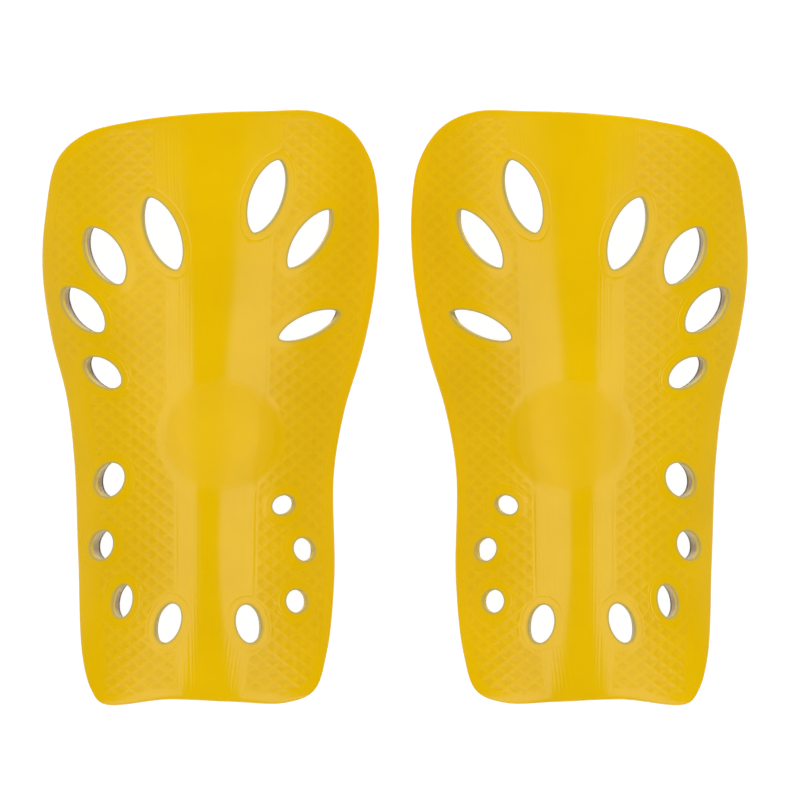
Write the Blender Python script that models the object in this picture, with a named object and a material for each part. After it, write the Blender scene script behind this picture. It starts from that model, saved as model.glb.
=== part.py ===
"""A pair of slip-in shin guards for ball sports, lying convex side up, knee end towards +Y.

Each guard is three layers that follow one curved surface: a hard moulded shell, a foam liner
under it and a knitted facing under the foam. Fifteen vents go through all three. The left
leg's guard lies at +X and the right leg's is its mirror image at -X.

Lengths are in millimetres in guard coordinates: U is the distance sideways from the middle of
the pair, V runs along the shin towards the knee, and Z is height above the table.
"""

import math

import bmesh
import bpy
import numpy as np
from mathutils import Vector
from mathutils.geometry import delaunay_2d_cdt, interpolate_bezier

MM = 0.001

# Layers, measured along the surface's normal.
SHELL_THICKNESS = 1.8
LINER_THICKNESS = 2.6
FACING_THICKNESS = 0.6
LAYER_GAP = 0.3

# How far each soft layer stops short of the shell's edge. The foam's lowest edges lie pressed
# flat on the table, which holds the shell and the facing just clear of it.
LINER_INSET = 0.6
FACING_INSET = 3.2

# Where the ridge over the shin bone runs, and half the guard's length.
RIDGE_U = 57.3
HALF_LENGTH = 90.0

# The cross-section at five stations from the ankle end to the knee end. Height falls away from
# the ridge as slope * (sqrt(t^2 + round^2) - round) + curl * t^3 / 3 at a distance t from it.
STATION_V = (-90.0, -45.0, 0.0, 45.0, 90.0)
RIDGE_HEIGHT = (18.0, 22.6, 24.6, 25.1, 24.4)
RIDGE_ROUND = (21.0, 11.0, 13.0, 18.0, 23.0)
OUTER_SLOPE = (0.28, 0.50, 0.45, 0.38, 0.36)
OUTER_CURL = (1.9e-4, 2.5e-4, 2.35e-4, 2.1e-4, 1.9e-4)
INNER_SLOPE = (0.26, 0.46, 0.40, 0.33, 0.30)
INNER_CURL = (2.0e-4, 3.4e-4, 3.0e-4, 2.3e-4, 2.2e-4)

# The edge of the shell seen from above, from the ankle end up the outer side and back down.
OUTLINE = (
    (89.2, -90.0), (92.6, -86.0), (95.4, -76.0), (96.8, -46.0), (98.0, -16.0), (100.2, 2.8),
    (105.0, 22.0), (107.7, 42.0), (106.7, 59.0), (103.0, 75.6), (94.6, 83.2), (80.0, 86.9),
    (60.0, 89.2), (40.0, 90.0), (23.8, 89.9), (14.0, 85.4), (7.2, 75.4), (4.8, 60.5),
    (5.5, 40.0), (9.4, 18.5), (15.2, -1.0), (18.4, -20.0), (18.3, -52.0), (20.6, -74.5),
    (24.6, -86.2), (33.0, -89.7), (50.0, -89.4), (68.8, -88.7),
)

# Vents: centre U and V, length, width, turn of the long axis in degrees from +U, and taper,
# which is 1 for an oval and more for a leaf with drawn-out tips. The last number is how much
# wider all round the soft layers are cut, where the shell hides their edge.
VENTS = (
    (38.8, 64.1, 23.4, 10.0, 110.0, 1.25, 0.7),
    (70.5, 52.8, 23.4, 9.9, 68.4, 1.25, 0.5),
    (25.8, 51.3, 21.6, 8.3, 126.0, 1.35, 0.9),
    (88.2, 46.1, 19.6, 10.4, 59.0, 1.25, 0.0),
    (95.0, 29.7, 17.6, 9.2, 46.0, 1.25, 0.0),
    (26.0, 25.0, 20.0, 6.6, 156.6, 1.3, 0.9),
    (89.0, 10.6, 13.0, 7.8, 34.0, 1.1, 0.0),
    (86.9, -22.0, 10.8, 8.6, 118.0, 1.0, 0.0),
    (89.4, -41.9, 9.0, 6.8, 107.0, 1.0, 0.0),
    (83.0, -58.9, 10.2, 6.0, 102.0, 1.0, 0.0),
    (68.9, -65.5, 12.4, 7.3, 109.0, 1.0, 0.4),
    (44.4, -65.7, 11.8, 7.6, 78.0, 1.0, 0.5),
    (29.9, -58.9, 7.0, 6.2, 80.0, 1.0, 0.8),
    (27.6, -43.2, 7.2, 6.0, 63.5, 1.0, 0.8),
    (33.9, -29.6, 6.8, 5.6, 157.0, 1.0, 0.8),
)

# How finely the surfaces are faceted.
EDGE_STEP = 7.0
LONG_VENT = 15.0
LONG_VENT_SIDES = 16
SHORT_VENT_SIDES = 10
COLUMN_OFFSETS = (0.0, 3.5, 7.5, 12.5, 19.0, 27.0, 35.0, 43.0)
ROW_STEP = 14.0
CLEAR_OF_EDGE = 3.0

SHELL_YELLOW = (0.80, 0.50, 0.0, 1.0)
FOAM_GREY = (0.57, 0.50, 0.36, 1.0)
KNIT_GREY = (0.47, 0.43, 0.35, 1.0)


def along(values, v):
    """The smooth curve along the shin through one value for each station."""
    fit = np.polyfit(np.array(STATION_V) / HALF_LENGTH, values, len(STATION_V) - 1)
    return np.polyval(fit, np.asarray(v) / HALF_LENGTH)


def surface_height(u, v):
    """Height of the shell's outer surface."""
    t = np.asarray(u) - RIDGE_U
    outer = t > 0
    slope = np.where(outer, along(OUTER_SLOPE, v), along(INNER_SLOPE, v))
    curl = np.where(outer, along(OUTER_CURL, v), along(INNER_CURL, v))
    rounding = along(RIDGE_ROUND, v)
    fall = slope * (np.hypot(t, rounding) - rounding) + curl * np.abs(t) ** 3 / 3
    return along(RIDGE_HEIGHT, v) - fall


def surface_point(u, v, depth):
    """A point this deep under the outer surface, straight down its normal."""
    step = 0.01
    du = (surface_height(u + step, v) - surface_height(u - step, v)) / (2 * step)
    dv = (surface_height(u, v + step) - surface_height(u, v - step)) / (2 * step)
    normal = Vector((-du, -dv, 1.0)).normalized()
    return Vector((u, v, float(surface_height(u, v)))) - normal * depth


def closed_curve(points, step):
    """A smooth closed curve through the points (centripetal Catmull-Rom), a step apart."""
    spots = [Vector(point) for point in points]
    curve = []
    for index, start in enumerate(spots):
        before = spots[index - 1]
        end = spots[(index + 1) % len(spots)]
        after = spots[(index + 2) % len(spots)]
        lead, span, lag = (
            math.sqrt((q - p).length) for p, q in ((before, start), (start, end), (end, after))
        )
        leaving = (start - before) / lead - (end - before) / (lead + span)
        arriving = (after - end) / lag - (after - start) / (span + lag)
        handle_1 = start + (end - start + leaving * span) / 3
        handle_2 = end - (end - start + arriving * span) / 3
        pieces = max(1, round((end - start).length / step))
        curve += interpolate_bezier(start, handle_1, handle_2, end, pieces + 1)[:-1]
    return curve


def inset_loop(loop, distance):
    """The closed loop moved inwards, to the left of the way it runs."""
    moved = []
    for index, spot in enumerate(loop):
        way = (loop[(index + 1) % len(loop)] - loop[index - 1]).normalized()
        moved.append(spot + Vector((-way.y, way.x)) * distance)
    return moved


def vent_loop(vent, widened):
    """The edge of a vent: an oval, or a leaf whose tips are drawn out by its taper."""
    u, v, length, width, turn, taper, slack = vent
    sides = LONG_VENT_SIDES if length > LONG_VENT else SHORT_VENT_SIDES
    grow = slack if widened else 0.0
    along_axis = Vector((math.cos(math.radians(turn)), math.sin(math.radians(turn))))
    across_axis = Vector((-along_axis.y, along_axis.x))
    loop = []
    for side in range(sides):
        angle = math.tau * side / sides
        bulge = math.copysign(abs(math.sin(angle)) ** taper, math.sin(angle))
        reach = (length / 2 + grow) * math.cos(angle)
        loop.append(Vector((u, v)) + along_axis * reach + across_axis * (width / 2 + grow) * bulge)
    return loop


def inside(spot, loop):
    """Whether a flat point is inside a closed loop, by counting the edges to its right."""
    crossings = 0
    for index, end in enumerate(loop):
        start = loop[index - 1]
        if (start.y > spot.y) != (end.y > spot.y):
            share = (spot.y - start.y) / (end.y - start.y)
            crossings += start.x + (end.x - start.x) * share > spot.x
    return crossings % 2 == 1


def in_layer(spot, edge, vents):
    return inside(spot, edge) and not any(inside(spot, vent) for vent in vents)


def grid_spots(edges, vents):
    """Points that carry the curvature: columns beside the ridge, clear of every edge."""
    columns = {RIDGE_U + way * offset for offset in COLUMN_OFFSETS for way in (-1, 1)}
    rows = round(2 * HALF_LENGTH / ROW_STEP)
    corners = [spot for loop in edges + vents for spot in loop]
    spots = []
    for row in range(1, rows):
        for column, u in enumerate(sorted(columns)):
            v = -HALF_LENGTH + 2 * HALF_LENGTH * (row + 0.5 * (column % 2) - 0.25) / rows
            spot = Vector((u, v))
            clear = all((spot - corner).length > CLEAR_OF_EDGE for corner in corners)
            if clear and in_layer(spot, edges[0], vents):
                spots.append(spot)
    return spots


def flat_pattern(edges, vents):
    """Points and triangles, seen from above, for layers that share their vents.

    The first edge is the largest layer's. The triangles' sides follow every edge, so that the
    layers have the same facets wherever both of them reach.
    """
    spots = [spot for loop in edges + vents for spot in loop]
    sides = []
    first = 0
    for loop in edges + vents:
        sides += [(first + i, first + (i + 1) % len(loop)) for i in range(len(loop))]
        first += len(loop)
    spots += grid_spots(edges, vents)
    return spots, delaunay_2d_cdt(spots, sides, [], 0, 1e-6)[2]


def press_flat(bm):
    """Trims what would reach below the table, and closes the flat that it leaves."""
    everything = bm.verts[:] + bm.edges[:] + bm.faces[:]
    bmesh.ops.bisect_plane(
        bm, geom=everything, dist=1e-7, plane_co=(0, 0, 0), plane_no=(0, 0, -1), clear_outer=True
    )
    bmesh.ops.holes_fill(bm, edges=[edge for edge in bm.edges if edge.is_boundary], sides=0)


def layer_mesh(name, side, pattern, edge, vents, depth, thickness):
    """The part of a pattern inside this layer's edge, as a closed curved solid in metres."""
    spots, triangles = pattern
    middles = [sum((spots[i] for i in corners), Vector((0, 0))) / 3 for corners in triangles]
    kept = [t for t, middle in zip(triangles, middles) if in_layer(middle, edge, vents)]
    used = sorted({i for corners in kept for i in corners})
    bm = bmesh.new()
    top, bottom = {}, {}
    for i in used:
        for made, level in ((top, depth), (bottom, depth + thickness)):
            u, v, z = surface_point(*spots[i], level)
            made[i] = bm.verts.new((side * (u - RIDGE_U) * MM, v * MM, z * MM))
    for a, b, c in kept:
        bm.faces.new((top[a], top[b], top[c]))
        bm.faces.new((bottom[c], bottom[b], bottom[a]))
    ways = {(corners[i - 1], corners[i]) for corners in kept for i in range(3)}
    for a, b in sorted(ways):
        if (b, a) not in ways:
            bm.faces.new((top[b], top[a], bottom[a], bottom[b]))
    press_flat(bm)
    bmesh.ops.triangulate(bm, faces=bm.faces[:])
    bmesh.ops.recalc_face_normals(bm, faces=bm.faces[:])
    mesh = bpy.data.meshes.new(name)
    bm.to_mesh(mesh)
    bm.free()
    mesh.shade_smooth()
    mesh.set_sharp_from_angle(angle=math.radians(35))
    return mesh


def material(name, colour, roughness):
    made = bpy.data.materials.new(name)
    made.use_nodes = True
    shader = made.node_tree.nodes["Principled BSDF"]
    shader.inputs["Base Color"].default_value = colour
    shader.inputs["Roughness"].default_value = roughness
    shader.inputs["Metallic"].default_value = 0.0
    return made


def add_guard(leg, side):
    """The three layers of one guard, held by an empty on the table under the shin bone."""
    holder = bpy.data.objects.new(f"{leg}_guard", None)
    holder.location = (side * RIDGE_U * MM, 0, 0)
    bpy.context.collection.objects.link(holder)

    edge = closed_curve(OUTLINE, EDGE_STEP)
    liner_edge = inset_loop(edge, LINER_INSET)
    facing_edge = inset_loop(edge, FACING_INSET)
    vents = [vent_loop(vent, widened=False) for vent in VENTS]
    soft_vents = [vent_loop(vent, widened=True) for vent in VENTS]
    hard_pattern = flat_pattern([edge, facing_edge], vents)
    soft_pattern = flat_pattern([liner_edge, facing_edge], soft_vents)
    liner_depth = SHELL_THICKNESS + LAYER_GAP
    facing_depth = liner_depth + LINER_THICKNESS + LAYER_GAP
    meshes = {
        "shell": (hard_pattern, edge, vents, 0.0, SHELL_THICKNESS),
        "foam_liner": (soft_pattern, liner_edge, soft_vents, liner_depth, LINER_THICKNESS),
        "knit_facing": (soft_pattern, facing_edge, soft_vents, facing_depth, FACING_THICKNESS),
    }
    looks = {
        "shell": (SHELL_YELLOW, 0.25),
        "foam_liner": (FOAM_GREY, 0.9),
        "knit_facing": (KNIT_GREY, 1.0),
    }
    for part, shape in meshes.items():
        name = f"{leg}_{part}"
        layer = bpy.data.objects.new(name, layer_mesh(name, side, *shape))
        layer.data.materials.append(material(name, *looks[part]))
        layer.parent = holder
        bpy.context.collection.objects.link(layer)


for stale in list(bpy.data.objects):
    bpy.data.objects.remove(stale)
add_guard("right", -1)
add_guard("left", 1)
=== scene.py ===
"""The looks of a pair of slip-in shin guards for ball sports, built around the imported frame.

Each guard lies convex side up with its knee end towards +Y: a glossy moulded shell over a foam
liner over a knitted facing. Every piece is shaped for the left leg's guard, which lies at +X,
and mirrored for the right leg's.

Lengths are in millimetres in guard coordinates, as in the CAD source: U is the distance
sideways from the middle of the pair, V runs along the shin towards the knee, and Z is height.
A spot is a (U, V) pair, and spots are kept as the rows of an array.
"""

import math

import bpy
import numpy as np
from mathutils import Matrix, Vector
from mathutils.geometry import delaunay_2d_cdt, interpolate_bezier
from mathutils.kdtree import KDTree


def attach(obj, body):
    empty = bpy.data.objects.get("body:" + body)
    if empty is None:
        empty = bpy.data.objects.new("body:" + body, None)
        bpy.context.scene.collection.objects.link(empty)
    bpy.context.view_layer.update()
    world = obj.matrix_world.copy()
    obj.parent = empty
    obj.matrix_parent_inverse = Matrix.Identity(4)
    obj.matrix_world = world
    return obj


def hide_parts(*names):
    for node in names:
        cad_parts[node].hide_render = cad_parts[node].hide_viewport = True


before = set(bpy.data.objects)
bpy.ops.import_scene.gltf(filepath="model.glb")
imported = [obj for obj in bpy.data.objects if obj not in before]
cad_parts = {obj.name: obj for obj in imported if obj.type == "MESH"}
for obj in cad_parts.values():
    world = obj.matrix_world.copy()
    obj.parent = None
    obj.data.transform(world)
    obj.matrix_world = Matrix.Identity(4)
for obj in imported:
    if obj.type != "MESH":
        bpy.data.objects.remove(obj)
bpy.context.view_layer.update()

MM = 0.001

# ---------------------------------------------------------------- the shape, as in the CAD

SHELL_THICKNESS = 1.8
LINER_THICKNESS = 2.6
FACING_THICKNESS = 0.6
LAYER_GAP = 0.3
CLOSE_FIT = 0.05
LINER_INSET = 0.6
FACING_INSET = 3.2
RIDGE_U = 57.3
HALF_LENGTH = 90.0
STATION_V = (-90.0, -45.0, 0.0, 45.0, 90.0)
RIDGE_HEIGHT = (18.0, 22.6, 24.6, 25.1, 24.4)
RIDGE_ROUND = (21.0, 11.0, 13.0, 18.0, 23.0)
OUTER_SLOPE = (0.28, 0.50, 0.45, 0.38, 0.36)
OUTER_CURL = (1.9e-4, 2.5e-4, 2.35e-4, 2.1e-4, 1.9e-4)
INNER_SLOPE = (0.26, 0.46, 0.40, 0.33, 0.30)
INNER_CURL = (2.0e-4, 3.4e-4, 3.0e-4, 2.3e-4, 2.2e-4)
OUTLINE = (
    (89.2, -90.0), (92.6, -86.0), (95.4, -76.0), (96.8, -46.0), (98.0, -16.0), (100.2, 2.8),
    (105.0, 22.0), (107.7, 42.0), (106.7, 59.0), (103.0, 75.6), (94.6, 83.2), (80.0, 86.9),
    (60.0, 89.2), (40.0, 90.0), (23.8, 89.9), (14.0, 85.4), (7.2, 75.4), (4.8, 60.5),
    (5.5, 40.0), (9.4, 18.5), (15.2, -1.0), (18.4, -20.0), (18.3, -52.0), (20.6, -74.5),
    (24.6, -86.2), (33.0, -89.7), (50.0, -89.4), (68.8, -88.7),
)
# Centre U and V, length, width, turn of the long axis from +U in degrees, taper, and how much
# wider all round the soft layers are cut. That last width is more than in the CAD, so that
# little of the soft layers shows from straight above.
VENTS = (
    (38.8, 64.1, 23.4, 10.0, 110.0, 1.25, 1.4),
    (70.5, 52.8, 23.4, 9.9, 68.4, 1.25, 1.2),
    (25.8, 51.3, 21.6, 8.3, 126.0, 1.35, 2.0),
    (88.2, 46.1, 19.6, 10.4, 59.0, 1.25, 0.8),
    (95.0, 29.7, 17.6, 9.2, 46.0, 1.25, 0.8),
    (26.0, 25.0, 20.0, 6.6, 156.6, 1.3, 2.0),
    (89.0, 10.6, 13.0, 7.8, 34.0, 1.1, 0.8),
    (86.9, -22.0, 10.8, 8.6, 118.0, 1.0, 0.6),
    (89.4, -41.9, 9.0, 6.8, 107.0, 1.0, 0.2),
    (83.0, -58.9, 10.2, 6.0, 102.0, 1.0, 0.5),
    (68.9, -65.5, 12.4, 7.3, 109.0, 1.0, 1.2),
    (44.4, -65.7, 11.8, 7.6, 78.0, 1.0, 1.2),
    (29.9, -58.9, 7.0, 6.2, 80.0, 1.0, 2.1),
    (27.6, -43.2, 7.2, 6.0, 63.5, 1.0, 2.1),
    (33.9, -29.6, 6.8, 5.6, 157.0, 1.0, 2.1),
)

# ---------------------------------------------------------------- the shell's moulded relief

# The smooth band over the shin bone, by the U of its two edges at these V.
BAND_V = (-86.0, -57.4, -21.5, 6.9, 41.9, 66.3, 85.7)
BAND_OUTER_U = (65.8, 66.4, 66.4, 68.8, 68.8, 72.5, 72.8)
BAND_INNER_U = (46.4, 42.6, 42.0, 38.7, 38.1, 36.5, 34.4)
BAND_SMOOTHING = 5.0
BAND_RAISE = 0.06
# Grooves inside each band edge: how far in, how deep, and half how wide.
OUTER_GROOVES = (
    (0.0, 0.040, 0.34), (1.1, 0.018, 0.22), (2.1, 0.014, 0.22), (3.7, 0.035, 0.30),
    (4.7, 0.018, 0.22), (5.7, 0.014, 0.22), (6.8, 0.014, 0.25),
)
INNER_GROOVES = (
    (0.0, 0.018, 0.34), (1.1, 0.014, 0.22), (2.2, 0.016, 0.22), (3.4, 0.026, 0.30),
    (4.5, 0.018, 0.22), (5.6, 0.014, 0.22), (6.9, 0.012, 0.25),
)

# The diamond net on the side panels: half the diagonals of a diamond, and the ribs between
# the sunken diamonds.
NET_HALF_U = 3.0
NET_HALF_V = 2.132
NET_DEPTH_AT_KNEE = 0.045
NET_DEPTH_AT_ANKLE = 0.078
RIB_TOP = 0.10
RIB_FOOT = 1.20

# Smooth rings round the vents, and the fine line round each ring.
COLLAR_WIDTH = 2.5
COLLAR_RAISE = 0.012
COLLAR_LINE_DEPTH = 0.022
COLLAR_LINE_WIDTH = 0.22

# The blank round medallion, which is flatter than the ridge that it lies on.
MEDALLION = (53.0, -8.4)
MEDALLION_FLAT = 9.0
MEDALLION_RADIUS = 18.5
MEDALLION_LEVELLING = 0.19
MEDALLION_RIM_DEPTH = 0.02
MEDALLION_RIM_WIDTH = 0.9

# How much rougher the net, the medallion and the cut edges are than the polished band.
NET_SATIN = 0.12
MEDALLION_SATIN = 0.20
RIM_SATIN = 0.45

# The smooth border along the edge. It is wider down the outer side, between these V.
BORDER = 2.8
OUTER_BORDER = 6.5
OUTER_BORDER_U = (80, 88)
OUTER_BORDER_START_V = (-88, -78)
OUTER_BORDER_END_V = (2, 16)

# The rounding of the shell's edges, and how far the painted olive shade of a vent's wall reaches
# round the vent.
EDGE_ROUND = 0.40
VENT_EDGE_ROUND = 0.18
BACK_ROUND = 0.25
VENT_RIM = 0.8

# The soft layers' edges: rounded at the front, then at the back.
LINER_ROUNDS = (0.2, 0.45)
FACING_ROUNDS = (0.2, 0.3)

# The waves of the moulding's slight unevenness.
WAVE_HEIGHT = 0.012

# Colours, as linear red, green, blue and alpha. The pockets of the net are painted with shade:
# they take the plastic this share of the way from its pale colour to its deep one, which also
# paints the netted flanks darker as shade.
PLASTIC_DEEP = (0.75, 0.445, 0.0, 1)
PLASTIC_PALE = (0.87, 0.530, 0.0, 1)
# The olive is painted shade on the vents' walls and very edges.
PAINTED_SHADE_OLIVE = (0.50, 0.40, 0.09, 1)
POCKET_SHADE = 0.36
FOAM_DEEP = (0.48, 0.41, 0.28, 1)
FOAM_PALE = (0.66, 0.58, 0.43, 1)
KNIT_DEEP = (0.34, 0.30, 0.23, 1)
KNIT_PALE = (0.60, 0.55, 0.46, 1)

# The knit's loops, in metres.
LOOP_WIDTH = 0.0011
LOOP_HEIGHT = 0.0008


def along(values, v):
    """The smooth curve along the shin through one value for each station."""
    fit = np.polyfit(np.array(STATION_V) / HALF_LENGTH, values, len(STATION_V) - 1)
    return np.polyval(fit, v / HALF_LENGTH)


def ridge_fall(spots):
    """How far the smooth outer surface has dropped from the ridge at each spot."""
    t, v = spots[:, 0] - RIDGE_U, spots[:, 1]
    slope = np.where(t > 0, along(OUTER_SLOPE, v), along(INNER_SLOPE, v))
    curl = np.where(t > 0, along(OUTER_CURL, v), along(INNER_CURL, v))
    rounding = along(RIDGE_ROUND, v)
    return slope * (np.hypot(t, rounding) - rounding) + curl * np.abs(t) ** 3 / 3


def surface_height(spots):
    return along(RIDGE_HEIGHT, spots[:, 1]) - ridge_fall(spots)


def surface_points(spots, depth):
    """The points this deep under the smooth outer surface, straight down its normal."""
    step = 0.01
    tilts = [
        (surface_height(spots - way) - surface_height(spots + way)) / (2 * step)
        for way in (np.array((step, 0)), np.array((0, step)))
    ]
    normals = np.column_stack((*tilts, np.ones(len(spots))))
    normals /= np.linalg.norm(normals, axis=1)[:, None]
    return np.column_stack((spots, surface_height(spots))) - normals * np.reshape(depth, (-1, 1))


def smooth(x, low, high):
    """0 below low, 1 above high, and a smooth step between them."""
    share = np.clip((x - low) / (high - low), 0, 1)
    return share * share * (3 - 2 * share)


def groove(x, width):
    """1 in the middle of a groove, and 0 away from it."""
    return np.exp(-((x / width) ** 2))


# ---------------------------------------------------------------- loops and distances


def closed_curve(points, pieces):
    """A smooth closed curve through the points (centripetal Catmull-Rom)."""
    spots = [Vector(point) for point in points]
    curve = []
    for index, start in enumerate(spots):
        before = spots[index - 1]
        end = spots[(index + 1) % len(spots)]
        after = spots[(index + 2) % len(spots)]
        lead, span, lag = (
            math.sqrt((q - p).length) for p, q in ((before, start), (start, end), (end, after))
        )
        leaving = (start - before) / lead - (end - before) / (lead + span)
        arriving = (after - end) / lag - (after - start) / (span + lag)
        handle_1 = start + (end - start + leaving * span) / 3
        handle_2 = end - (end - start + arriving * span) / 3
        curve += interpolate_bezier(start, handle_1, handle_2, end, pieces + 1)[:-1]
    return np.array(curve)


def vent_curve(vent, widened):
    """The edge of a vent: an oval, or a leaf whose tips are drawn out by its taper."""
    u, v, length, width, turn, taper, slack = vent
    grow = slack if widened else 0.0
    angle = np.linspace(0, math.tau, 400, endpoint=False)
    bulge = np.sign(np.sin(angle)) * np.abs(np.sin(angle)) ** taper
    reach = (length / 2 + grow) * np.cos(angle)
    side = (width / 2 + grow) * bulge
    c, s = math.cos(math.radians(turn)), math.sin(math.radians(turn))
    return np.column_stack((u + c * reach - s * side, v + s * reach + c * side))


def evenly(loop, step):
    """The closed loop again, with its points about a step apart."""
    ring = np.vstack((loop, loop[:1]))
    run = np.concatenate(([0], np.cumsum(np.linalg.norm(np.diff(ring, axis=0), axis=1))))
    marks = np.linspace(0, run[-1], max(12, round(run[-1] / step)), endpoint=False)
    return np.column_stack([np.interp(marks, run, ring[:, axis]) for axis in (0, 1)])


def moved(loop, distance):
    """The loop moved to the left of the way it runs, which is inwards."""
    way = np.roll(loop, -1, axis=0) - np.roll(loop, 1, axis=0)
    way /= np.linalg.norm(way, axis=1)[:, None]
    return loop + distance * np.column_stack((-way[:, 1], way[:, 0]))


def inside(spots, loop):
    """Whether each spot is inside a closed loop, by counting the edges to its right."""
    crossings = np.zeros(len(spots), int)
    for (u1, v1), (u2, v2) in zip(loop, np.roll(loop, -1, axis=0)):
        if v1 == v2:
            continue
        spans = (v1 > spots[:, 1]) != (v2 > spots[:, 1])
        crossings += spans & (u1 + (u2 - u1) * (spots[:, 1] - v1) / (v2 - v1) > spots[:, 0])
    return crossings % 2 == 1


def nearest(spots, others):
    """The distance from each spot to the nearest of the others."""
    if not len(others):
        return np.full(len(spots), np.inf)
    tree = KDTree(len(others))
    for index, (u, v) in enumerate(others.tolist()):
        tree.insert((u, v, 0), index)
    tree.balance()
    return np.array([tree.find((u, v, 0))[2] for u, v in spots.tolist()])


FINE = 0.12
EDGE_CURVE = closed_curve(OUTLINE, 40)
VENT_CURVES = [vent_curve(vent, widened=False) for vent in VENTS]
SOFT_VENT_CURVES = [vent_curve(vent, widened=True) for vent in VENTS]
FINE_EDGE = evenly(EDGE_CURVE, FINE)
FINE_VENTS = np.concatenate([evenly(curve, FINE) for curve in VENT_CURVES])


# ---------------------------------------------------------------- relief of the shell


def band_edge(values, v):
    """The U of one edge of the band, smoothed so that it has no corners."""
    shifts = np.linspace(-BAND_SMOOTHING, BAND_SMOOTHING, 9)
    return np.mean([np.interp(v + shift, BAND_V, values) for shift in shifts], axis=0)


def in_band(spots):
    """How far each spot is inside each edge of the band: negative outside."""
    u, v = spots[:, 0], spots[:, 1]
    return band_edge(BAND_OUTER_U, v) - u, u - band_edge(BAND_INNER_U, v)


def from_medallion(spots):
    return np.hypot(spots[:, 0] - MEDALLION[0], spots[:, 1] - MEDALLION[1])


def border_width(spots):
    """The smooth border is wider down the outer side, below the widest vents."""
    u, v = spots[:, 0], spots[:, 1]
    low = smooth(v, *OUTER_BORDER_START_V) * (1 - smooth(v, *OUTER_BORDER_END_V))
    return BORDER + (OUTER_BORDER - BORDER) * smooth(u, *OUTER_BORDER_U) * low


def net_amount(spots, to_vent, to_edge):
    """1 on the netted side panels, falling to 0 at the band, rings, medallion and border."""
    border = border_width(spots)
    outside = -np.minimum(*in_band(spots))
    return (
        smooth(to_vent, COLLAR_WIDTH + 0.4, COLLAR_WIDTH + 1.0)
        * smooth(to_edge, border, border + 0.9)
        * smooth(outside, 0.5, 1.1)
        * smooth(from_medallion(spots), MEDALLION_RADIUS + 0.5, MEDALLION_RADIUS + 2.0)
    )


def girth(spots):
    """How far each spot is from the ridge, measured round the curved surface."""
    t = spots[:, 0] - RIDGE_U
    steepness = ridge_fall(spots) / np.maximum(np.abs(t), 0.1)
    return t * (1 + 2 / 3 * steepness**2)


def net_pocket(spots):
    """1 on the floor of a diamond of the net, and 0 on top of a rib."""
    across, up = girth(spots) / NET_HALF_U, spots[:, 1] / NET_HALF_V
    rib_gap = 2 * NET_HALF_U * NET_HALF_V / math.hypot(NET_HALF_U, NET_HALF_V)
    away = [np.abs(x - np.round(x)) * rib_gap for x in ((across + up) / 2, (across - up) / 2)]
    return smooth(np.minimum(*away), RIB_TOP, RIB_FOOT)


def net_depth(spots):
    """The net is pressed deeper towards the ankle."""
    share = smooth(spots[:, 1], -10, 50)
    return NET_DEPTH_AT_ANKLE + (NET_DEPTH_AT_KNEE - NET_DEPTH_AT_ANKLE) * share


def waviness(spots):
    """The slight unevenness of a large thin moulding."""
    u, v = spots[:, 0], spots[:, 1]
    return WAVE_HEIGHT * (np.sin(u / 3.1 + 1.3 * np.sin(v / 11)) + np.sin(v / 5.3 + u / 7.7 + 2))


def finishes(spots):
    """What the plastic's material reads at each spot.

    satin is how much rougher it is than the polished band, pocket is 1 in the net's pockets,
    which are painted darker as shade, and rim is 1 on the walls and the very edges of the vents,
    which are painted olive as shade.
    """
    to_vent = nearest(spots, FINE_VENTS)
    net = net_amount(spots, to_vent, nearest(spots, FINE_EDGE))
    medallion = 1 - smooth(from_medallion(spots), MEDALLION_RADIUS - 4, MEDALLION_RADIUS)
    rim = 1 - smooth(to_vent, VENT_EDGE_ROUND, VENT_RIM)
    return {
        "satin": NET_SATIN * net + MEDALLION_SATIN * medallion + RIM_SATIN * rim,
        "painted_pocket_shade": net * net_pocket(spots),
        "rim": rim,
    }


def shell_relief(spots):
    """How far the moulded outer surface stands above the smooth one."""
    to_vent, to_edge = nearest(spots, FINE_VENTS), nearest(spots, FINE_EDGE)
    medallion = from_medallion(spots)
    ring = 1 - smooth(to_vent, COLLAR_WIDTH - 0.3, COLLAR_WIDTH + 0.3)

    lift = waviness(spots) + COLLAR_RAISE * ring
    lift -= COLLAR_LINE_DEPTH * groove(to_vent - COLLAR_WIDTH, COLLAR_LINE_WIDTH)
    lift -= net_depth(spots) * net_amount(spots, to_vent, to_edge) * net_pocket(spots)
    level = MEDALLION_LEVELLING * ridge_fall(spots)
    lift += level * (1 - smooth(medallion, MEDALLION_FLAT, MEDALLION_RADIUS))
    lift -= MEDALLION_RIM_DEPTH * groove(medallion - MEDALLION_RADIUS, MEDALLION_RIM_WIDTH)

    open_band = (
        smooth(to_vent, COLLAR_WIDTH - 0.2, COLLAR_WIDTH + 0.6)
        * smooth(to_edge, 2.4, 4.2)
        * smooth(medallion, MEDALLION_RADIUS - 1, MEDALLION_RADIUS + 5)
    )
    outer, inner = in_band(spots)
    lift += BAND_RAISE * smooth(np.minimum(outer, inner), -0.3, 1.2) * (1 - ring)
    for into, grooves in ((outer, OUTER_GROOVES), (inner, INNER_GROOVES)):
        for inset, depth, width in grooves:
            lift -= depth * open_band * groove(into - inset, width)
    return lift


def front_normals(spots):
    """The normals of the moulded outer surface, from its slope at each spot."""
    step = 0.04
    ahead, behind, above, below = (
        surface_points(spots + way, -shell_relief(spots + way))
        for way in np.array(((step, 0), (-step, 0), (0, step), (0, -step)))
    )
    normals = np.cross(ahead - behind, above - below)
    return normals / np.linalg.norm(normals, axis=1)[:, None]


# ---------------------------------------------------------------- spots to shape it with

# How far out the rings of spots round each vent lie. They crowd at the collar's fine line.
RING_DISTANCES = (0.5, VENT_RIM, 1.3, 1.9, 2.2, 2.35, 2.5, 2.65, 2.8, 3.1, 3.6)
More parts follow.
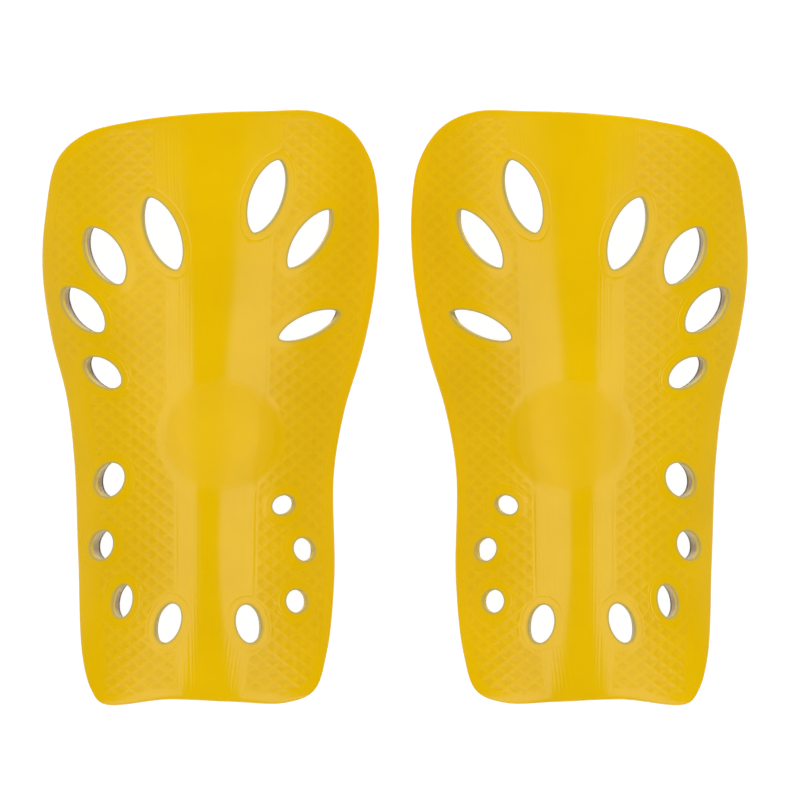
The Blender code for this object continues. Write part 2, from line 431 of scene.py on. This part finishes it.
# Where spots lie on the way from one rib of the net to the next.
RIB_SHARES = (0.0, 0.075, 0.17, 0.27, 0.5, 0.73, 0.83, 0.925)
# Where spots lie across a groove, in half widths.
GROOVE_SHARES = (-1.5, -0.8, 0, 0.8, 1.5)
# How far out the rings of spots inside the guard's edge lie.
EDGE_RINGS = (1.4, 2.2, 3.0)
# How far apart the points are along each layer's edge, and round its vents.
SHELL_STEPS = (0.9, 0.65)
LINER_STEPS = (1.0, 0.7)
FACING_STEPS = (1.2, 0.8)


def thinned(spots, gap, kept):
    """The spots that are at least a gap away from every spot kept so far."""
    return spots[nearest(spots, kept) > gap]


def groove_columns(values, way, grooves):
    """Columns of spots that follow one band edge and its grooves."""
    # Two columns just outside the band's edge, one inside its last groove, and each groove's.
    offsets = {-1.1, -0.6, 8.0}
    for inset, _, width in grooves:
        offsets |= {round(inset + share * width, 3) for share in GROOVE_SHARES}
    rows = np.arange(-86.5, 86.6, 1.3)
    edge = band_edge(values, rows)
    return [np.column_stack((edge + way * offset, rows)) for offset in sorted(offsets)]


def net_spots():
    """Spots that follow the ribs of the net, so that the ribs keep their shape."""
    # The net reaches past the guard on every side, and is cut to its length and girth.
    counts = np.arange(-36, 37)
    steps = (counts[:, None] + np.array(RIB_SHARES)[None, :]).ravel()
    i, j = (grid.ravel() for grid in np.meshgrid(steps, steps))
    wanted = (i + j) * NET_HALF_U
    spots = np.column_stack((RIDGE_U + wanted, (i - j) * NET_HALF_V))
    near = (np.abs(wanted) < 64) & (np.abs(spots[:, 1]) < HALF_LENGTH)
    wanted, spots = wanted[near], spots[near]
    # Each pass brings the spots' girths closer to the wanted ones.
    for _ in range(12):
        spots[:, 0] += 0.7 * (wanted - girth(spots))
    return spots


def grid_spots(step):
    """Spots in a plain triangular grid."""
    us = np.arange(2, 110, step)
    vs = np.arange(-90, 91, step * 0.866)
    shifts = step / 2 * (np.arange(len(vs)) % 2)
    rows = [np.column_stack((us + shift, np.full(len(us), v))) for shift, v in zip(shifts, vs)]
    return np.concatenate(rows)


def within(spots, edge, vents, gap):
    """The spots inside the edge and outside every vent, and a gap clear of them."""
    spots = spots[inside(spots, edge)]
    for vent in vents:
        spots = spots[~inside(spots, vent)]
    return spots[nearest(spots, np.concatenate((edge, *vents))) > gap]


def tied_spots(edge, vents):
    """The clear spots of all the groove columns, and ties between neighbours in a column."""
    columns = groove_columns(BAND_OUTER_U, -1, OUTER_GROOVES)
    columns += groove_columns(BAND_INNER_U, 1, INNER_GROOVES)
    lines = np.concatenate(columns)
    row_count = len(columns[0])
    # The columns stop short of the rings, the guard's edge and the medallion.
    clear = inside(lines, edge) & (nearest(lines, FINE_VENTS) > COLLAR_WIDTH + 0.9)
    clear &= (nearest(lines, FINE_EDGE) > 1.6) & (from_medallion(lines) > MEDALLION_RADIUS + 1)
    clear &= ~np.any([inside(lines, vent) for vent in vents], axis=0)
    number = np.cumsum(clear) - 1
    ties = []
    for i in range(len(lines) - 1):
        if clear[i] and clear[i + 1] and (i + 1) % row_count:
            ties.append((int(number[i]), int(number[i + 1])))
    return lines[clear], ties


def front_spots(rims):
    """The spots inside the shell's outer surface, densest at its relief, with their ties."""
    edge, *vents = rims
    found, ties = tied_spots(edge, vents)
    kept = np.concatenate((*rims, found))

    def keep(spots, gap):
        """Adds the spots that are clear of the rims and a gap away from those so far."""
        nonlocal kept, found
        fresh = thinned(within(spots, edge, vents, 0.25), gap, kept)
        kept = np.concatenate((kept, fresh))
        found = np.concatenate((found, fresh))

    for distance in RING_DISTANCES:
        for curve in VENT_CURVES:
            loop = moved(evenly(curve, SHELL_STEPS[1]), -distance)
            ring = loop[nearest(loop, FINE_VENTS) > distance - 0.04]
            keep(ring[nearest(ring, FINE_EDGE) > EDGE_ROUND + 0.4], 0.13)
    for radius in np.arange(MEDALLION_FLAT - 1, MEDALLION_RADIUS + 2.6, 0.8):
        angle = np.linspace(0, math.tau, round(math.tau * radius), endpoint=False)
        keep(MEDALLION + radius * np.column_stack((np.cos(angle), np.sin(angle))), 0.3)
    for distance in EDGE_RINGS:
        keep(moved(evenly(EDGE_CURVE, 1.3), distance), 0.4)
    net = within(net_spots(), edge, vents, 0.4)
    amount = net_amount(net, nearest(net, FINE_VENTS), nearest(net, FINE_EDGE))
    keep(net[amount > 0], 0.16)
    keep(grid_spots(1.7), 0.9)
    return found, ties


# ---------------------------------------------------------------- layers


def rounded_edge(thickness, front_round, back_round, steps):
    """A layer's edge from front to back, as pairs of a distance from the edge and a depth."""
    turns = [math.pi / 2 * k / steps for k in range(steps + 1)]
    front = [(front_round * (1 - math.sin(a)), front_round * (1 - math.cos(a))) for a in turns]
    back = [
        (back_round * (1 - math.cos(a)), thickness - back_round * (1 - math.sin(a))) for a in turns
    ]
    return front + back


def filled(rims, spots, ties):
    """All the spots, those of the rims first, and the triangles between them."""
    rim = np.concatenate(rims)
    sides, first = [], 0
    for loop in rims:
        sides += [(first + i, first + (i + 1) % len(loop)) for i in range(len(loop))]
        first += len(loop)
    sides += [(first + a, first + b) for a, b in ties]
    given = [Vector(spot) for spot in np.concatenate((rim, spots)).tolist()]
    made, _, corners, sources, _, _ = delaunay_2d_cdt(given, sides, [], 0, 1e-7)
    place, extra = [], []
    for spot, source in zip(made, sources):
        place.append(min(source) if source else len(given) + len(extra))
        if not source:
            extra.append(spot)
    everything = np.array([*given, *extra])
    triangles = np.array(place)[np.array(corners)]
    # A triangle with all its corners on the rims may lie in a vent or outside the edge.
    between_rims = (triangles < len(rim)).all(axis=1)
    middles = everything[triangles[between_rims]].mean(axis=1)
    good = inside(middles, rims[0])
    for vent in rims[1:]:
        good &= ~inside(middles, vent)
    kept = ~between_rims
    kept[np.flatnonzero(between_rims)[good]] = True
    return everything, triangles[kept]


def layer_solid(loops, edge, vent_edge, front, back, depth, relief):
    """A closed solid: edge rows round every loop, and a filled front and back.

    The first loop is the layer's own edge and the others its vents, each with its own section,
    and the two sections have the same number of rows. front and back take the rims of the
    filled areas and give the spots inside them and their ties. relief gives how far the front
    stands proud at each spot. The front's own spots are given too, with their numbers.
    """
    thickness = edge[-1][1]
    points, faces = [], []
    total = 0
    rims = {0: [], len(edge) - 1: []}
    rim_ids = {0: [], len(edge) - 1: []}
    for number, loop in enumerate(loops):
        side, section = (1, edge) if number == 0 else (-1, vent_edge)
        first_row = moved(loop, side * section[0][0])
        lift = relief(first_row)
        count = len(loop)
        for row, (distance, deep) in enumerate(section):
            spots = moved(loop, side * distance)
            points.append(surface_points(spots, depth + deep - lift * (1 - deep / thickness)))
            if row in rims:
                rims[row].append(spots)
                rim_ids[row].append(total + np.arange(count))
            if row:
                this, last = total + np.arange(count), total - count + np.arange(count)
                quads = np.column_stack((last, this, np.roll(this, -1), np.roll(last, -1)))
                faces += (quads if side == 1 else quads[:, ::-1]).tolist()
            total += count
    for row, fill, flip in ((0, front, False), (len(edge) - 1, back, True)):
        everything, triangles = filled(rims[row], *fill(rims[row]))
        rim_count = sum(len(rim) for rim in rims[row])
        ids = np.concatenate((*rim_ids[row], total + np.arange(len(everything) - rim_count)))
        spots = everything[rim_count:]
        lift = 0 if flip else relief(spots)
        points.append(surface_points(spots, depth + edge[row][1] - lift))
        if not flip:
            on_front = spots, ids[rim_count:]
        total += len(spots)
        faces += ids[triangles[:, ::-1] if flip else triangles].tolist()
    return np.concatenate(points), faces, on_front


def plain_spots(step):
    """A way to fill an area that carries no relief."""
    return lambda rims: (within(grid_spots(step), rims[0], rims[1:], step * 0.45), [])


def flat(spots):
    return np.zeros(len(spots))


def shell_shape():
    edge_step, vent_step = SHELL_STEPS
    loops = [evenly(EDGE_CURVE, edge_step)]
    loops += [evenly(curve, vent_step) for curve in VENT_CURVES]
    edge = rounded_edge(SHELL_THICKNESS, EDGE_ROUND, BACK_ROUND, 4)
    vent_edge = rounded_edge(SHELL_THICKNESS, VENT_EDGE_ROUND, BACK_ROUND, 4)
    points, faces, (spots, ids) = layer_solid(
        loops, edge, vent_edge, front_spots, plain_spots(3.5), 0.0, shell_relief
    )
    normals = np.zeros((len(points), 3))
    normals[ids] = front_normals(spots)
    return points, faces, normals, finishes(points[:, :2])


def pressed_flat(points):
    """The foam lies pressed flat where it would reach below the table."""
    points[:, 2] = np.maximum(points[:, 2], 0)
    return points


def soft_shape(steps, inset, depth, edge):
    """A smooth layer under the shell, with its own edge section."""
    edge_step, vent_step = steps
    loops = [moved(evenly(EDGE_CURVE, edge_step), inset)]
    loops += [evenly(curve, vent_step) for curve in SOFT_VENT_CURVES]
    points, faces, _ = layer_solid(
        loops, edge, edge, plain_spots(4), plain_spots(2.5), depth, flat
    )
    return pressed_flat(points), faces, None, {}


def liner_shape():
    thickness = LINER_THICKNESS + LAYER_GAP - CLOSE_FIT
    edge = rounded_edge(thickness, *LINER_ROUNDS, 3)
    return soft_shape(LINER_STEPS, LINER_INSET, SHELL_THICKNESS + CLOSE_FIT, edge)


def facing_shape():
    depth = SHELL_THICKNESS + LAYER_GAP + LINER_THICKNESS + CLOSE_FIT
    edge = rounded_edge(FACING_THICKNESS, *FACING_ROUNDS, 2)
    return soft_shape(FACING_STEPS, FACING_INSET, depth, edge)


def add_mesh(name, shape, side):
    """The shape as an object in metres, mirrored for the right leg.

    Where a shape gives a normal of zero, Blender works it out from the faces.
    """
    points, faces, normals, finish = shape
    if side < 0:
        faces = [corners[::-1] for corners in faces]
    mesh = bpy.data.meshes.new(name)
    mesh.from_pydata((points * (side * MM, MM, MM)).tolist(), [], faces)
    mesh.shade_smooth()
    if normals is not None:
        mesh.normals_split_custom_set_from_vertices((normals * (side, 1, 1)).tolist())
    for kind, amounts in finish.items():
        mesh.attributes.new(kind, "FLOAT", "POINT").data.foreach_set("value", amounts)
    made = bpy.data.objects.new(name, mesh)
    bpy.context.scene.collection.objects.link(made)
    return made


# ---------------------------------------------------------------- materials


def add_node(tree, kind, inputs=None, **settings):
    """A node with its settings, and its inputs as values or as the sockets that feed them."""
    made = tree.nodes.new(kind)
    for name, value in settings.items():
        setattr(made, name, value)
    for name, value in (inputs or {}).items():
        if isinstance(value, bpy.types.NodeSocket):
            tree.links.new(value, made.inputs[name])
        else:
            made.inputs[name].default_value = value
    return made


def new_material(name, **shader_values):
    made = bpy.data.materials.new(name)
    made.use_nodes = True
    tree = made.node_tree
    shader = tree.nodes["Principled BSDF"]
    for key, value in shader_values.items():
        shader.inputs[key.replace("_", " ")].default_value = value
    place = tree.nodes.new("ShaderNodeTexCoord").outputs["Object"]
    return made, tree, shader, place


def noise(tree, place, scale, detail):
    made = add_node(tree, "ShaderNodeTexNoise", {"Vector": place, "Scale": scale, "Detail": detail})
    return made.outputs["Fac"]


def mapped(tree, value, low, high, to_low, to_high):
    """The value, moved from the range low to high into the range to_low to to_high."""
    inputs = {"Value": value, "From Min": low, "From Max": high}
    inputs |= {"To Min": to_low, "To Max": to_high}
    return add_node(tree, "ShaderNodeMapRange", inputs).outputs["Result"]


def colours(tree, value, first, second):
    """A colour that runs from the first to the second as the value goes from 0 to 1."""
    # A mix node has its share as input 0, and its colours as inputs 6 and 7 and output 2.
    inputs = {0: value, 6: first, 7: second}
    return add_node(tree, "ShaderNodeMix", inputs, data_type="RGBA").outputs[2]


def math_node(tree, operation, first, second=0.0):
    made = add_node(tree, "ShaderNodeMath", {0: first, 1: second}, operation=operation)
    return made.outputs["Value"]


def roughen(tree, shader, height, strength, distance):
    """Gives the shader's surface a fine bump of this height, over this distance in metres."""
    inputs = {"Height": height, "Strength": strength, "Distance": distance}
    bump = add_node(tree, "ShaderNodeBump", inputs)
    tree.links.new(bump.outputs["Normal"], shader.inputs["Normal"])


def attribute(tree, name):
    return add_node(tree, "ShaderNodeAttribute", attribute_name=name).outputs["Fac"]


def shell_plastic():
    """Glossy yellow polypropylene, with the slight unevenness of a moulding."""
    made, tree, shader, place = new_material("glossy_yellow_plastic", IOR=1.49)
    tint = mapped(tree, noise(tree, place, 38, 3), 0.3, 0.7, 0.5, 1)
    # Painted shade: the net's pockets are darkened towards the deep colour.
    painted_pocket_shade = math_node(tree, "MULTIPLY", attribute(tree, "painted_pocket_shade"), POCKET_SHADE)
    tint = math_node(tree, "SUBTRACT", tint, painted_pocket_shade)
    colour = colours(tree, tint, PLASTIC_DEEP, PLASTIC_PALE)
    # Painted shade: the walls and very edges of the vents turn olive.
    colour = colours(tree, attribute(tree, "rim"), colour, PAINTED_SHADE_OLIVE)
    tree.links.new(colour, shader.inputs["Base Color"])
    gloss = mapped(tree, noise(tree, place, 160, 4), 0.3, 0.7, 0.13, 0.19)
    roughness = math_node(tree, "ADD", gloss, attribute(tree, "satin"))
    tree.links.new(roughness, shader.inputs["Roughness"])
    roughen(tree, shader, noise(tree, place, 900, 2), 0.12, 0.00004)
    return made


def liner_foam():
    """Closed-cell foam: fine cells, with larger ones scattered through it."""
    made, tree, shader, place = new_material("closed_cell_foam", Roughness=0.9)
    shader.inputs["Specular IOR Level"].default_value = 0.25
    cells = add_node(tree, "ShaderNodeTexVoronoi", {"Vector": place, "Scale": 2600.0})
    large = add_node(tree, "ShaderNodeTexVoronoi", {"Vector": place, "Scale": 900.0})
    pits = math_node(tree, "MULTIPLY", large.outputs["Distance"], 0.6)
    depth = math_node(tree, "ADD", cells.outputs["Distance"], pits)
    colour = colours(tree, mapped(tree, depth, 0.2, 1.1, 0, 1), FOAM_DEEP, FOAM_PALE)
    tree.links.new(colour, shader.inputs["Base Color"])
    roughen(tree, shader, depth, 0.6, 0.00012)
    return made


def facing_knit():
    """A fine warm grey knit: columns of stacked V-shaped loops."""
    made, tree, shader, place = new_material("fine_warm_grey_knit", Roughness=0.95)
    shader.inputs["Sheen Weight"].default_value = 0.35
    shader.inputs["Sheen Roughness"].default_value = 0.4
    axes = add_node(tree, "ShaderNodeSeparateXYZ", {"Vector": place}).outputs
    across = math_node(tree, "MULTIPLY", axes["X"], 1 / LOOP_WIDTH)
    up = math_node(tree, "MULTIPLY", axes["Y"], 1 / LOOP_HEIGHT)
    from_middle = math_node(tree, "SUBTRACT", math_node(tree, "FRACT", across), 0.5)
    half = math_node(tree, "ABSOLUTE", from_middle)
    slant = math_node(tree, "ADD", up, math_node(tree, "MULTIPLY", half, 1.7))
    wave = math_node(tree, "SINE", math_node(tree, "MULTIPLY", slant, math.pi))
    strand = math_node(tree, "ABSOLUTE", wave)
    edge = math_node(tree, "POWER", math_node(tree, "MULTIPLY", half, 2.0), 4.0)
    loops = math_node(tree, "MULTIPLY", strand, math_node(tree, "SUBTRACT", 1.0, edge))
    fuzz = math_node(tree, "MULTIPLY", noise(tree, place, 4000, 2), 0.35)
    height = math_node(tree, "ADD", loops, fuzz)
    colour = colours(tree, mapped(tree, height, 0.1, 1.2, 0, 1), KNIT_DEEP, KNIT_PALE)
    tree.links.new(colour, shader.inputs["Base Color"])
    roughen(tree, shader, height, 0.8, 0.00025)
    return made


# ---------------------------------------------------------------- the guards


def add_guards():
    shapes = {"shell": shell_shape(), "foam_liner": liner_shape(), "knit_facing": facing_shape()}
    looks = {"shell": shell_plastic(), "foam_liner": liner_foam(), "knit_facing": facing_knit()}
    endings = {"shell": "moulding", "foam_liner": "sheet", "knit_facing": "cloth"}
    for leg, side in (("right", -1), ("left", 1)):
        for part, shape in shapes.items():
            piece = add_mesh(f"{leg}_{part}_{endings[part]}", shape, side)
            piece.data.materials.append(looks[part])
            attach(piece, f"{leg}_guard")
            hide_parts(f"{leg}_{part}")


# ---------------------------------------------------------------- camera, floor and light

# All in metres and watts.
VIEW_CENTRE = (0.0015, 0.0023)
VIEW_WIDTH = 0.2437
VIEW_LEVEL = 0.006
CAMERA_DISTANCE = 4.0
FLOOR_HALF = 3.0
FLOOR_GREY = 0.16
FLOOR_GLOW = 0.95
PANEL_HEIGHT = 2.2
# Name, place, size, power, and whether the gloss mirrors it.
PANELS = (
    ("right_panel", (1.73, -0.315), (2.13, 0.83), 7.5, True),
    ("left_panel", (-1.73, -0.315), (2.13, 0.83), 7.5, True),
    ("far_panel", (0, 3.1), (4.0, 2.6), 158, False),
    ("near_panel", (0, -3.1), (4.0, 2.6), 82, False),
)
WORLD_STRENGTH = 1.5


def add_camera():
    camera = bpy.data.cameras.new("camera")
    camera.sensor_width = 36.0
    camera.lens = camera.sensor_width * CAMERA_DISTANCE / VIEW_WIDTH
    holder = bpy.data.objects.new("camera", camera)
    holder.location = (*VIEW_CENTRE, VIEW_LEVEL + CAMERA_DISTANCE)
    bpy.context.scene.collection.objects.link(holder)
    bpy.context.scene.camera = holder


def add_floor():
    half = FLOOR_HALF
    mesh = bpy.data.meshes.new("floor")
    corners = [(-half, -half, 0), (half, -half, 0), (half, half, 0), (-half, half, 0)]
    mesh.from_pydata(corners, [], [(0, 1, 2, 3)])
    floor = bpy.data.objects.new("floor", mesh)
    bpy.context.scene.collection.objects.link(floor)
    made, _, shader, _ = new_material("lit_pale_floor", Roughness=1.0)
    shader.inputs["Base Color"].default_value = (FLOOR_GREY, FLOOR_GREY, FLOOR_GREY, 1)
    shader.inputs["Specular IOR Level"].default_value = 0.0
    shader.inputs["Emission Color"].default_value = (1.0, 1.0, 1.0, 1)
    shader.inputs["Emission Strength"].default_value = FLOOR_GLOW
    mesh.materials.append(made)


def add_panel(name, place, size, power, mirrored):
    """A level soft panel that lights straight down, and is mirrored in gloss or isn't."""
    light = bpy.data.lights.new(name, "AREA")
    light.shape = "RECTANGLE"
    light.size, light.size_y = size
    light.energy = power
    holder = bpy.data.objects.new(name, light)
    holder.location = (*place, PANEL_HEIGHT)
    holder.visible_camera = False
    holder.visible_glossy = mirrored
    bpy.context.scene.collection.objects.link(holder)


def grey_ramp(tree, value, stops):
    """A grey that eases between two stops, each a place and a grey."""
    ramp = add_node(tree, "ShaderNodeValToRGB", {"Fac": value})
    ramp.color_ramp.interpolation = "EASE"
    for element, (place, grey) in zip(ramp.color_ramp.elements, stops):
        element.position = place
        element.color = (grey, grey, grey, 1)
    return ramp.outputs["Color"]


def add_world():
    """Palest part of the way up beyond the guards' ends, dim at the horizon, and dark elsewhere."""
    world = bpy.data.worlds.new("studio")
    bpy.context.scene.world = world
    world.use_nodes = True
    tree = world.node_tree
    place = tree.nodes.new("ShaderNodeTexCoord").outputs["Generated"]
    way = add_node(tree, "ShaderNodeSeparateXYZ", {"Vector": place}).outputs
    lengthways = math_node(tree, "ABSOLUTE", way["Y"])
    ends = grey_ramp(tree, lengthways, ((0.36, 0.013), (0.95, 1.0)))
    lift = grey_ramp(tree, way["Z"], ((0.15, 0.10), (0.60, 1.0)))
    horizon = grey_ramp(tree, way["Z"], ((0.10, 0.27), (0.36, 0.013)))
    light = math_node(tree, "MAXIMUM", math_node(tree, "MULTIPLY", ends, lift), horizon)
    background = tree.nodes["Background"]
    tree.links.new(light, background.inputs["Color"])
    background.inputs["Strength"].default_value = WORLD_STRENGTH


add_guards()
add_camera()
add_floor()
add_world()
for panel in PANELS:
    add_panel(*panel)
bpy.context.scene.view_settings.view_transform = "Standard"
